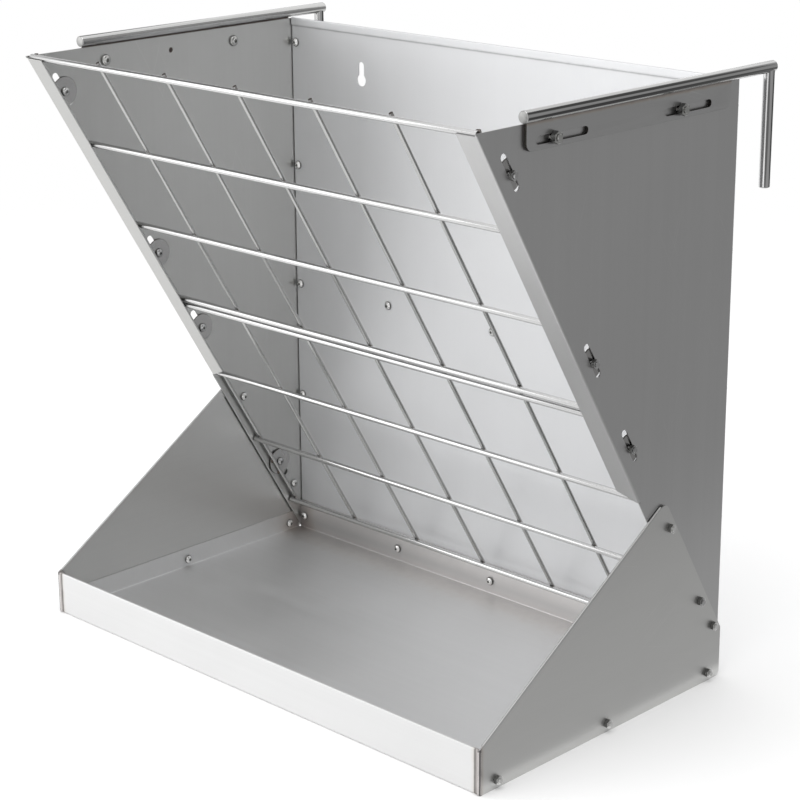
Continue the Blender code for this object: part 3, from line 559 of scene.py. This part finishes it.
for side, outward in SIDES.items():
    for index, body in CLAMP_BODIES.items():
        name = f"{side}_clamp_washer_{index}"
        low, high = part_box(name)
        middle = (low + high) / 2
        half = (high.x - low.x) / 2
        outer = (high.z - low.z) / 2
        bore_break, rim_break = WASHER_BORE + WASHER_BREAK, outer - WASHER_BREAK
        face_break = half - WASHER_BREAK
        bm = spun((
            (WASHER_BORE, -face_break), (bore_break, -half), (rim_break, -half), (outer, -face_break),
            (outer, face_break), (rim_break, half), (bore_break, half), (WASHER_BORE, face_break),
        ), steps=48)
        turn = Matrix.Translation(middle) @ Matrix.Rotation(math.pi / 2, 4, "Y")
        bmesh.ops.transform(bm, matrix=turn, verts=bm.verts)
        for face in bm.faces:
            face.material_index = WASHER_RIM if abs(face.normal.x) < FLAT_FACE else WASHER_FACE
        for reach in (-LUG_WELD_REACH, LUG_WELD_REACH):
            spot = middle + DOWN * reach + INWARD * (WIRE_INSET + LEAN / 2 - LUG_LINE)
            spot.x = middle.x - outward * (half + LUG_WELD_LIFT)
            weld_spot(bm, spot, LUG_WELD, LUG_BEAD)
        finished(name + "_disc", bm, washer_finishes, body, [name])

# Bolts and screws
# Button heads with a hexagon socket, rolled threads and chamfered hexagon nuts, all in plain stainless
# steel. The clamps and the casing take M5, the hooks M6.
Thread = namedtuple("Thread", "shank head head_height nut nut_height pitch")
THREADS = {
    "M5": Thread(shank=0.0050, head=0.0095, head_height=0.0030, nut=0.008, nut_height=0.004, pitch=0.0008),
    "M6": Thread(shank=0.0060, head=0.0115, head_height=0.0036, nut=0.010, nut_height=0.005, pitch=0.0010),
}
BOLT_STUB = 0.0015
SHANK_SUNK = 0.3
THREAD_CHAMFER = 0.0004
THREAD_DEPTH, CREST_START, CREST_END = 0.54, 0.42, 0.55
HEAD_RIM, HEAD_FLAT, SOCKET_WIDTH, SOCKET_FLOOR = 0.12, 0.46, 0.32, 0.42
DOME_TURNS = (0.0, 0.25, 0.5, 0.75, 1.0)
NUT_FACE = 0.94
NUT_CHAMFER = math.radians(30.0)
CUTTER_OVERRUN = 0.001
FLANK = 0.62


def carved(first, second, operation):
    """One shape with another cut out of it, or kept only where both are, as a new mesh."""
    objects = []
    for bm in (first, second):
        objects.append(bpy.data.objects.new("blank", as_mesh("blank", bm)))
        bpy.context.scene.collection.objects.link(objects[-1])
    cut = objects[0].modifiers.new("cut", "BOOLEAN")
    cut.object = objects[1]
    cut.operation = operation
    cut.solver = "EXACT"
    mesh = bpy.data.meshes.new_from_object(objects[0].evaluated_get(bpy.context.evaluated_depsgraph_get()))
    for blank in objects:
        bpy.data.objects.remove(blank)
    return mesh


def hexagon(across_flats, low, high):
    bm = bmesh.new()
    corner = across_flats / math.sqrt(3.0)
    bmesh.ops.create_cone(
        bm, cap_ends=True, segments=6, radius1=corner, radius2=corner, depth=high - low,
        matrix=Matrix.Translation((0.0, 0.0, (low + high) / 2)),
    )
    return bm


def head_shape(thread):
    """A button head below the seat, with its socket."""
    radius, height = thread.head / 2, thread.head_height
    dome = [(radius * math.cos(turn), -HEAD_RIM * height - (1.0 - HEAD_RIM) * height * math.sin(turn))
            for turn in DOME_TURNS]
    profile = [(CORE, 0.0), (radius - CORE, 0.0), (radius, -CORE), *dome, (radius * HEAD_FLAT, -height),
               (CORE, -height)]
    socket = hexagon(thread.head * SOCKET_WIDTH, -height - CUTTER_OVERRUN, -height * SOCKET_FLOOR)
    return carved(spun(profile, steps=36), socket, "DIFFERENCE")


def nut_shape(thread, low):
    """A hexagon nut with its corners chamfered at both faces."""
    high = low + thread.nut_height
    corner = thread.nut / math.sqrt(3.0)
    face = thread.nut / 2 * NUT_FACE
    drop = (corner - face) * math.tan(NUT_CHAMFER)
    profile = ((CORE, low), (face, low), (corner, low + drop),
               (corner, high - drop), (face, high), (CORE, high))
    blank = hexagon(thread.nut, low - CUTTER_OVERRUN, high + CUTTER_OVERRUN)
    return carved(blank, spun(profile, steps=48), "INTERSECT")


def shank_shape(thread, start, end):
    """A rolled thread, its end chamfered."""
    radius, pitch = thread.shank / 2, thread.pitch
    root = radius - THREAD_DEPTH * pitch
    profile = [(CORE, start), (root, start)]
    height = start
    while height + pitch < end - THREAD_CHAMFER:
        profile += [(radius, height + pitch * CREST_START), (radius, height + pitch * CREST_END),
                    (root, height + pitch)]
        height += pitch
    profile += [(radius, end - THREAD_CHAMFER), (radius - THREAD_CHAMFER, end), (CORE, end)]
    return as_mesh("shank", spun(profile, steps=28))


def bolt_shape(thread, grip):
    """A bolt along the upright axis, its head below the seat and its nut above the grip."""
    bm = bmesh.new()
    bm.from_mesh(head_shape(thread))
    bm.from_mesh(nut_shape(thread, grip))
    bm.from_mesh(shank_shape(thread, -thread.head_height * SHANK_SUNK, grip + thread.nut_height + BOLT_STUB))
    return as_mesh("bolt", bm)


bolt_shapes = {}


def place_bolt(name, size, direction, body, finishes):
    """Puts a bolt along its solid's axis, the head at the end that the direction leaves."""
    thread = THREADS[size]
    low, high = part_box(name)
    axis = max(range(3), key=lambda index: abs(direction[index]))
    grip = high[axis] - low[axis] - thread.head_height - thread.nut_height - BOLT_STUB
    key = (size, round(grip * 1e5))
    if key not in bolt_shapes:
        bolt_shapes[key] = bolt_shape(thread, grip)
    seat = (low + high) / 2
    seat[axis] = (low[axis] if direction[axis] > 0.0 else high[axis]) + direction[axis] * thread.head_height
    bm = bmesh.new()
    bm.from_mesh(bolt_shapes[key])
    # Sideways faces take the flank finish: painted shade.
    for face in bm.faces:
        face.material_index = int(abs(face.normal.z) < FLANK)
    turn = Vector(direction).to_track_quat("Z", "Y").to_matrix().to_4x4()
    bmesh.ops.transform(bm, matrix=Matrix.Translation(seat) @ turn, verts=bm.verts)
    finished(name + "_set", bm, finishes, body, [name], crease=28.0)


CAST = (120.0, 120.0, 120.0)
# The near-black flank finish on the sides of heads, nuts and shanks is painted shade.
flank_painted_shade = steel("screw_flank_painted_shade", (0.20, 0.20, 0.195), polish=0.25, grain=CAST, streaks=0.4, clouds=0.4)
screw_steel = steel("screw_bright", (0.74, 0.74, 0.73), polish=0.20, grain=CAST, streaks=0.3, clouds=0.3,
                    marks=0.8)
# The clamp and hook bolts are toned darker than the screws, though all are the same steel: painted dark
# reflection.
clamp_steel = steel("clamp_bolt_polished", (0.48, 0.48, 0.48), polish=0.13, grain=CAST, streaks=0.4,
                    clouds=0.3)
hook_bolt_steel = steel("hook_bolt_polished", (0.44, 0.44, 0.43), polish=0.14, grain=CAST, streaks=0.5,
                        clouds=0.4)
screw_finishes = [screw_steel, flank_painted_shade]
BACKWARD = (0.0, 1.0, 0.0)
for side, outward in SIDES.items():
    sideways = (outward, 0.0, 0.0)
    for index, body in CLAMP_BODIES.items():
        place_bolt(f"{side}_clamp_bolt_{index}", "M5", sideways, body, [clamp_steel, flank_painted_shade])
    for index in range(1, 3):
        place_bolt(f"{side}_hook_bolt_{index}", "M6", sideways, "feeder", [hook_bolt_steel, flank_painted_shade])
        place_bolt(f"{side}_wing_screw_{index}", "M5", sideways, "feeder", screw_finishes)
    for index in range(1, 4):
        place_bolt(f"{side}_lip_screw_{index}", "M5", sideways, "feeder", screw_finishes)
    for index in range(1, 6):
        place_bolt(f"{side}_column_screw_{index}", "M5", BACKWARD, "feeder", screw_finishes)
for index in range(1, 4):
    place_bolt(f"brace_screw_{index}", "M5", BACKWARD, "feeder", screw_finishes)
    place_bolt(f"rear_lip_screw_{index}", "M5", BACKWARD, "feeder", screw_finishes)

# Hooks
# On each side a 3 mm slotted plate with an 11 mm round rod welded along its top edge. A leg of the same rod
# is welded under the rod's rear end and drops behind the rail.
WALL_Y = 0.1545
PLATE_TOP = 0.5906
PLATE_FOOT = PLATE_TOP - 0.0247
PLATE_REARS = {"left": WALL_Y - 0.00525, "right": WALL_Y - 0.01805}
PLATE_CUT = 0.0014
CUT_SLACK = 0.0001
PLATE_RAISED = 0.0012
PLATE_BREAK = 0.0003
RIM_INSET = 0.0004
ROD_RADIUS = 0.0055
ROD_SUNK = 0.0005
ROD_Z = PLATE_TOP + ROD_RADIUS - ROD_SUNK
ROD_SIDES = 40
ROD_BREAK = 0.0009
LEG_RADIUS = 0.00535
LEG_Y = WALL_Y + 0.0417
LEG_TOP = ROD_Z - 0.002
LEG_FOOT = ROD_Z - 0.1128
BEHIND_PLATE = 0.17
SIDE_FACE = 0.5
SPARE_HOLE_Z = 0.5743
SPARE_HOLES_Y = {"left": WALL_Y - 0.1733, "right": WALL_Y - 0.1773}
PLATE_FACE, ROD, LEG, PLATE_EDGE, PLATE_INSIDE, SAWN_END = range(6)


def hook_plate(name):
    """The slotted plate, parted from its solid just under the rod."""
    plate = solid_copy(name)
    bmesh.ops.bisect_plane(
        plate, geom=[*plate.verts, *plate.edges, *plate.faces], dist=0.000001,
        plane_co=(0.0, 0.0, PLATE_TOP - PLATE_CUT), plane_no=UPRIGHT, clear_outer=True,
    )
    leg = [vert for vert in plate.verts if vert.co.y > BEHIND_PLATE]
    bmesh.ops.delete(plate, geom=leg, context="VERTS")
    bmesh.ops.holes_fill(plate, edges=[line for line in plate.edges if line.is_boundary])
    top = [vert for vert in plate.verts if vert.co.z > PLATE_TOP - PLATE_CUT - CUT_SLACK]
    bmesh.ops.translate(plate, verts=top, vec=(0.0, 0.0, PLATE_RAISED))
    break_edges(plate, flattened(plate), PLATE_BREAK)
    for face in plate.faces:
        outward = math.copysign(1.0, face.verts[0].co.x)
        face.material_index = PLATE_EDGE
        if abs(face.normal.x) > SIDE_FACE:
            face.material_index = PLATE_FACE if face.normal.x * outward > 0.0 else PLATE_INSIDE
    return as_mesh("plate", plate)


# The two rods are the same drawn rod; their different tones on the two sides are painted light and shade.
ROD_TONES = {"left": (0.66, 0.66, 0.655), "right": (0.54, 0.54, 0.535)}
# These dark bands on the rods, and those on the legs below, are set by the way the surface faces: painted
# dark reflections.
ROD_PAINTED_REFLECTIONS = {
    "left": [PaintedDarkReflection((0.88, 0.0, -0.47), half_angle=45.0, share=0.35)],
    "right": [PaintedDarkReflection((0.80, 0.0, 0.60), half_angle=17.0, share=0.75),
              PaintedDarkReflection((0.975, 0.0, -0.22), half_angle=19.0, share=0.85)],
}
LEG_PAINTED_REFLECTIONS = [
    PaintedDarkReflection((0.0, -1.0, 0.0), half_angle=20.0, share=0.65),
    PaintedDarkReflection((0.67, -0.74, 0.0), half_angle=15.0, share=0.6),
    PaintedDarkReflection((0.99, 0.14, 0.0), half_angle=20.0, share=0.9),
]
EDGE_GRAIN = (200.0, 200.0, 200.0)
SAWN_GRAIN = (300.0, 300.0, 300.0)
leg_steel = steel("hook_leg_drawn", (0.66, 0.66, 0.66), polish=0.13, grain=ALONG_Z, streaks=0.5, clouds=0.08,
                  lines=LEG_PAINTED_REFLECTIONS)
# The plate's edge faces and slot walls are near-black: weld along the top edge, and painted shade on the
# other edges.
plate_edge_weld_and_shade = steel("hook_plate_edge_weld_and_shade", (0.06, 0.055, 0.05), polish=0.5, grain=EDGE_GRAIN, streaks=0.6,
                   clouds=0.4)
sawn_steel = steel("sawn_rod_end", (0.30, 0.30, 0.295), polish=0.35, grain=SAWN_GRAIN, streaks=0.7,
                   clouds=0.5)
for side in SIDES:
    name = side + "_hook"
    low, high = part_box(name)
    x = (low.x + high.x) / 2
    # Heat tint along the weld at the plate's top, set wide and dark on the inside face: heat tint, and
    # painted shadow under the rod.
    seam_tint_and_shadow = Band((x, 0.0, PLATE_TOP), BACKWARD, reach=0.0042, share=0.95)
    wide_seam_tint_and_shadow = seam_tint_and_shadow._replace(reach=0.012, share=1.0)
    # Thin dark lines along the plate's lower and rear edges: painted shadow.
    foot_painted_shadow = Band((x, 0.0, PLATE_FOOT + RIM_INSET), BACKWARD, reach=0.0018, share=0.6)
    rear_painted_shadow = Band((x, PLATE_REARS[side] - RIM_INSET, 0.0), UPRIGHT, reach=0.0018, share=0.6)
    # A dark patch on the inside face behind the spare hole, and the inside face's darker tone: painted shade.
    spare_hole_painted_shade = Band((0.0, SPARE_HOLES_Y[side], SPARE_HOLE_Z), ACROSS, reach=0.02, share=1.0)
    face_steel = steel(side + "_hook_plate_satin", (0.48, 0.48, 0.48), polish=0.32, grain=ALONG_Y,
                       streaks=0.06, clouds=0.06, heat_and_shade=[seam_tint_and_shadow], dirt_and_shade=[foot_painted_shadow, rear_painted_shadow])
    inside_painted_shade = steel(side + "_hook_plate_inside_shaded", (0.44, 0.44, 0.43), polish=0.36, grain=ALONG_Y,
                         streaks=0.06, clouds=0.2, heat_and_shade=[wide_seam_tint_and_shadow, spare_hole_painted_shade])
    rod_steel = steel(side + "_hook_rod_drawn", ROD_TONES[side], polish=0.13, grain=ALONG_Y, streaks=0.6,
                      clouds=0.08, lines=ROD_PAINTED_REFLECTIONS[side])
    bm = bmesh.new()
    bm.from_mesh(hook_plate(name))
    front, rear = Vector((x, low.y, ROD_Z)), Vector((x, high.y, ROD_Z))
    rod(bm, front, rear, ROD_RADIUS, ROD_SIDES, ROD_BREAK, ROD, SAWN_END)
    leg_top, leg_foot = Vector((x, LEG_Y, LEG_TOP)), Vector((x, LEG_Y, LEG_FOOT))
    rod(bm, leg_top, leg_foot, LEG_RADIUS, ROD_SIDES, ROD_BREAK, LEG, SAWN_END)
    finishes = [face_steel, rod_steel, leg_steel, plate_edge_weld_and_shade, inside_painted_shade, sawn_steel]
    finished(name + "_welded", bm, finishes, name, [name], crease=40.0)

# Studio
# A pale floor that fades into a white surround, a broad softbox in front on the left and a small one from
# above on the right. Three flags, behind on the right, on the floor beside the feeder and high on the left,
# are seen by reflections only, and give the steel its darker side.
FLOOR_HALF = 2.4
FLOOR_FADE = (0.8, 2.2)
FLAGS = {
    "rear_right_flag": (0.36, [(0.56, -0.3, 0.0), (0.56, 2.4, 0.0), (0.56, 2.4, 1.6), (0.56, -0.3, 1.6)]),
    "floor_flag": (0.50, [(0.31, -0.4, 0.003), (0.56, -0.4, 0.003), (0.56, 2.4, 0.003), (0.31, 2.4, 0.003)]),
    "high_left_flag": (0.22, [(-1.3, -0.6, 1.0), (-1.3, 1.0, 1.0), (-1.3, 1.0, 3.0), (-1.3, -0.6, 3.0)]),
}
WHITE = (1.0, 1.0, 1.0, 1.0)
# Each lamp's place, the point that it faces, its width and its power in watts.
LAMPS = {
    "front_left_softbox": ((-2.2, -2.2, 1.1), (0.0, 0.0, 0.25), 2.8, 34.0),
    "top_softbox": ((0.5, -0.6, 2.4), (0.0, 0.0, 0.2), 1.6, 12.0),
}


def stage_sheet(name, corners, material):
    bm = bmesh.new()
    bm.faces.new([bm.verts.new(corner) for corner in corners])
    mesh = as_mesh(name, bm)
    mesh.materials.append(material)
    sheet = bpy.data.objects.new(name, mesh)
    bpy.context.scene.collection.objects.link(sheet)
    return sheet


def mixed(tree, share, first, second, output):
    """Ends a tree with one shader giving way to another."""
    mix = node(tree, "ShaderNodeMixShader", {0: share, 1: first.outputs[0], 2: second.outputs[0]})
    tree.links.new(mix.outputs[0], tree.nodes[output].inputs["Surface"])


floor_material = bpy.data.materials.new("pale_floor")
floor_material.use_nodes = True
tree = floor_material.node_tree
paint = tree.nodes["Principled BSDF"]
paint.inputs["Base Color"].default_value = (0.96, 0.96, 0.96, 1.0)
paint.inputs["Roughness"].default_value = 0.9
paint.inputs["Specular IOR Level"].default_value = 0.0
clear = tree.nodes.new("ShaderNodeBsdfTransparent")
where = tree.nodes.new("ShaderNodeTexCoord").outputs["Object"]
radius = node(tree, "ShaderNodeVectorMath", {0: where}, operation="LENGTH").outputs["Value"]
fade = ranged(tree, radius, *FLOOR_FADE, interpolation_type="SMOOTHSTEP")
mixed(tree, fade, paint, clear, "Material Output")
floor_corners = [(FLOOR_HALF * x, FLOOR_HALF * y, 0.0) for x, y in ((-1, -1), (1, -1), (1, 1), (-1, 1))]
stage_sheet("floor", floor_corners, floor_material)

for name, (tone, corners) in FLAGS.items():
    flag_material = bpy.data.materials.new(name + "_grey")
    flag_material.use_nodes = True
    tree = flag_material.node_tree
    tree.nodes.remove(tree.nodes["Principled BSDF"])
    glow = node(tree, "ShaderNodeEmission", {"Color": (tone, tone, tone, 1.0), "Strength": 1.0})
    tree.links.new(glow.outputs[0], tree.nodes["Material Output"].inputs["Surface"])
    flag = stage_sheet(name, corners, flag_material)
    flag.visible_camera = False
    flag.visible_diffuse = False
    flag.visible_shadow = False
    flag.visible_transmission = False

world = bpy.data.worlds.new("white_surround")
bpy.context.scene.world = world
world.use_nodes = True
tree = world.node_tree
seen = tree.nodes["Background"]
seen.inputs["Color"].default_value = WHITE
seen.inputs["Strength"].default_value = 1.0
lit = node(tree, "ShaderNodeBackground", {"Color": WHITE, "Strength": 1.0})
path = tree.nodes.new("ShaderNodeLightPath")
direct = calc(tree, "MAXIMUM", path.outputs["Is Camera Ray"], path.outputs["Is Glossy Ray"])
direct = calc(tree, "MAXIMUM", direct, path.outputs["Is Transmission Ray"])
mixed(tree, direct, lit, seen, "World Output")

for name, (place, target, width, power) in LAMPS.items():
    lamp = bpy.data.lights.new(name, "AREA")
    lamp.size = width
    lamp.energy = power
    softbox = bpy.data.objects.new(name, lamp)
    softbox.location = place
    softbox.rotation_euler = (Vector(target) - Vector(place)).to_track_quat("-Z", "Y").to_euler()
    softbox.visible_camera = False
    bpy.context.scene.collection.objects.link(softbox)

# Camera
# It stands in front of the feeder on the right and a little above it, turned down, with a long lens. Its
# place, turn and lens were solved from the feeder's own corners.
camera = bpy.data.objects.new("camera", bpy.data.cameras.new("camera"))
camera.location = (1.47405, -1.49485, 0.9272)
camera.rotation_euler = [math.radians(angle) for angle in (72.2363, 0.3702, 44.2194)]
camera.data.sensor_width = 36.0
camera.data.lens = 99.731
bpy.context.scene.collection.objects.link(camera)
bpy.context.scene.camera = camera
bpy.context.scene.view_settings.view_transform = "Standard"
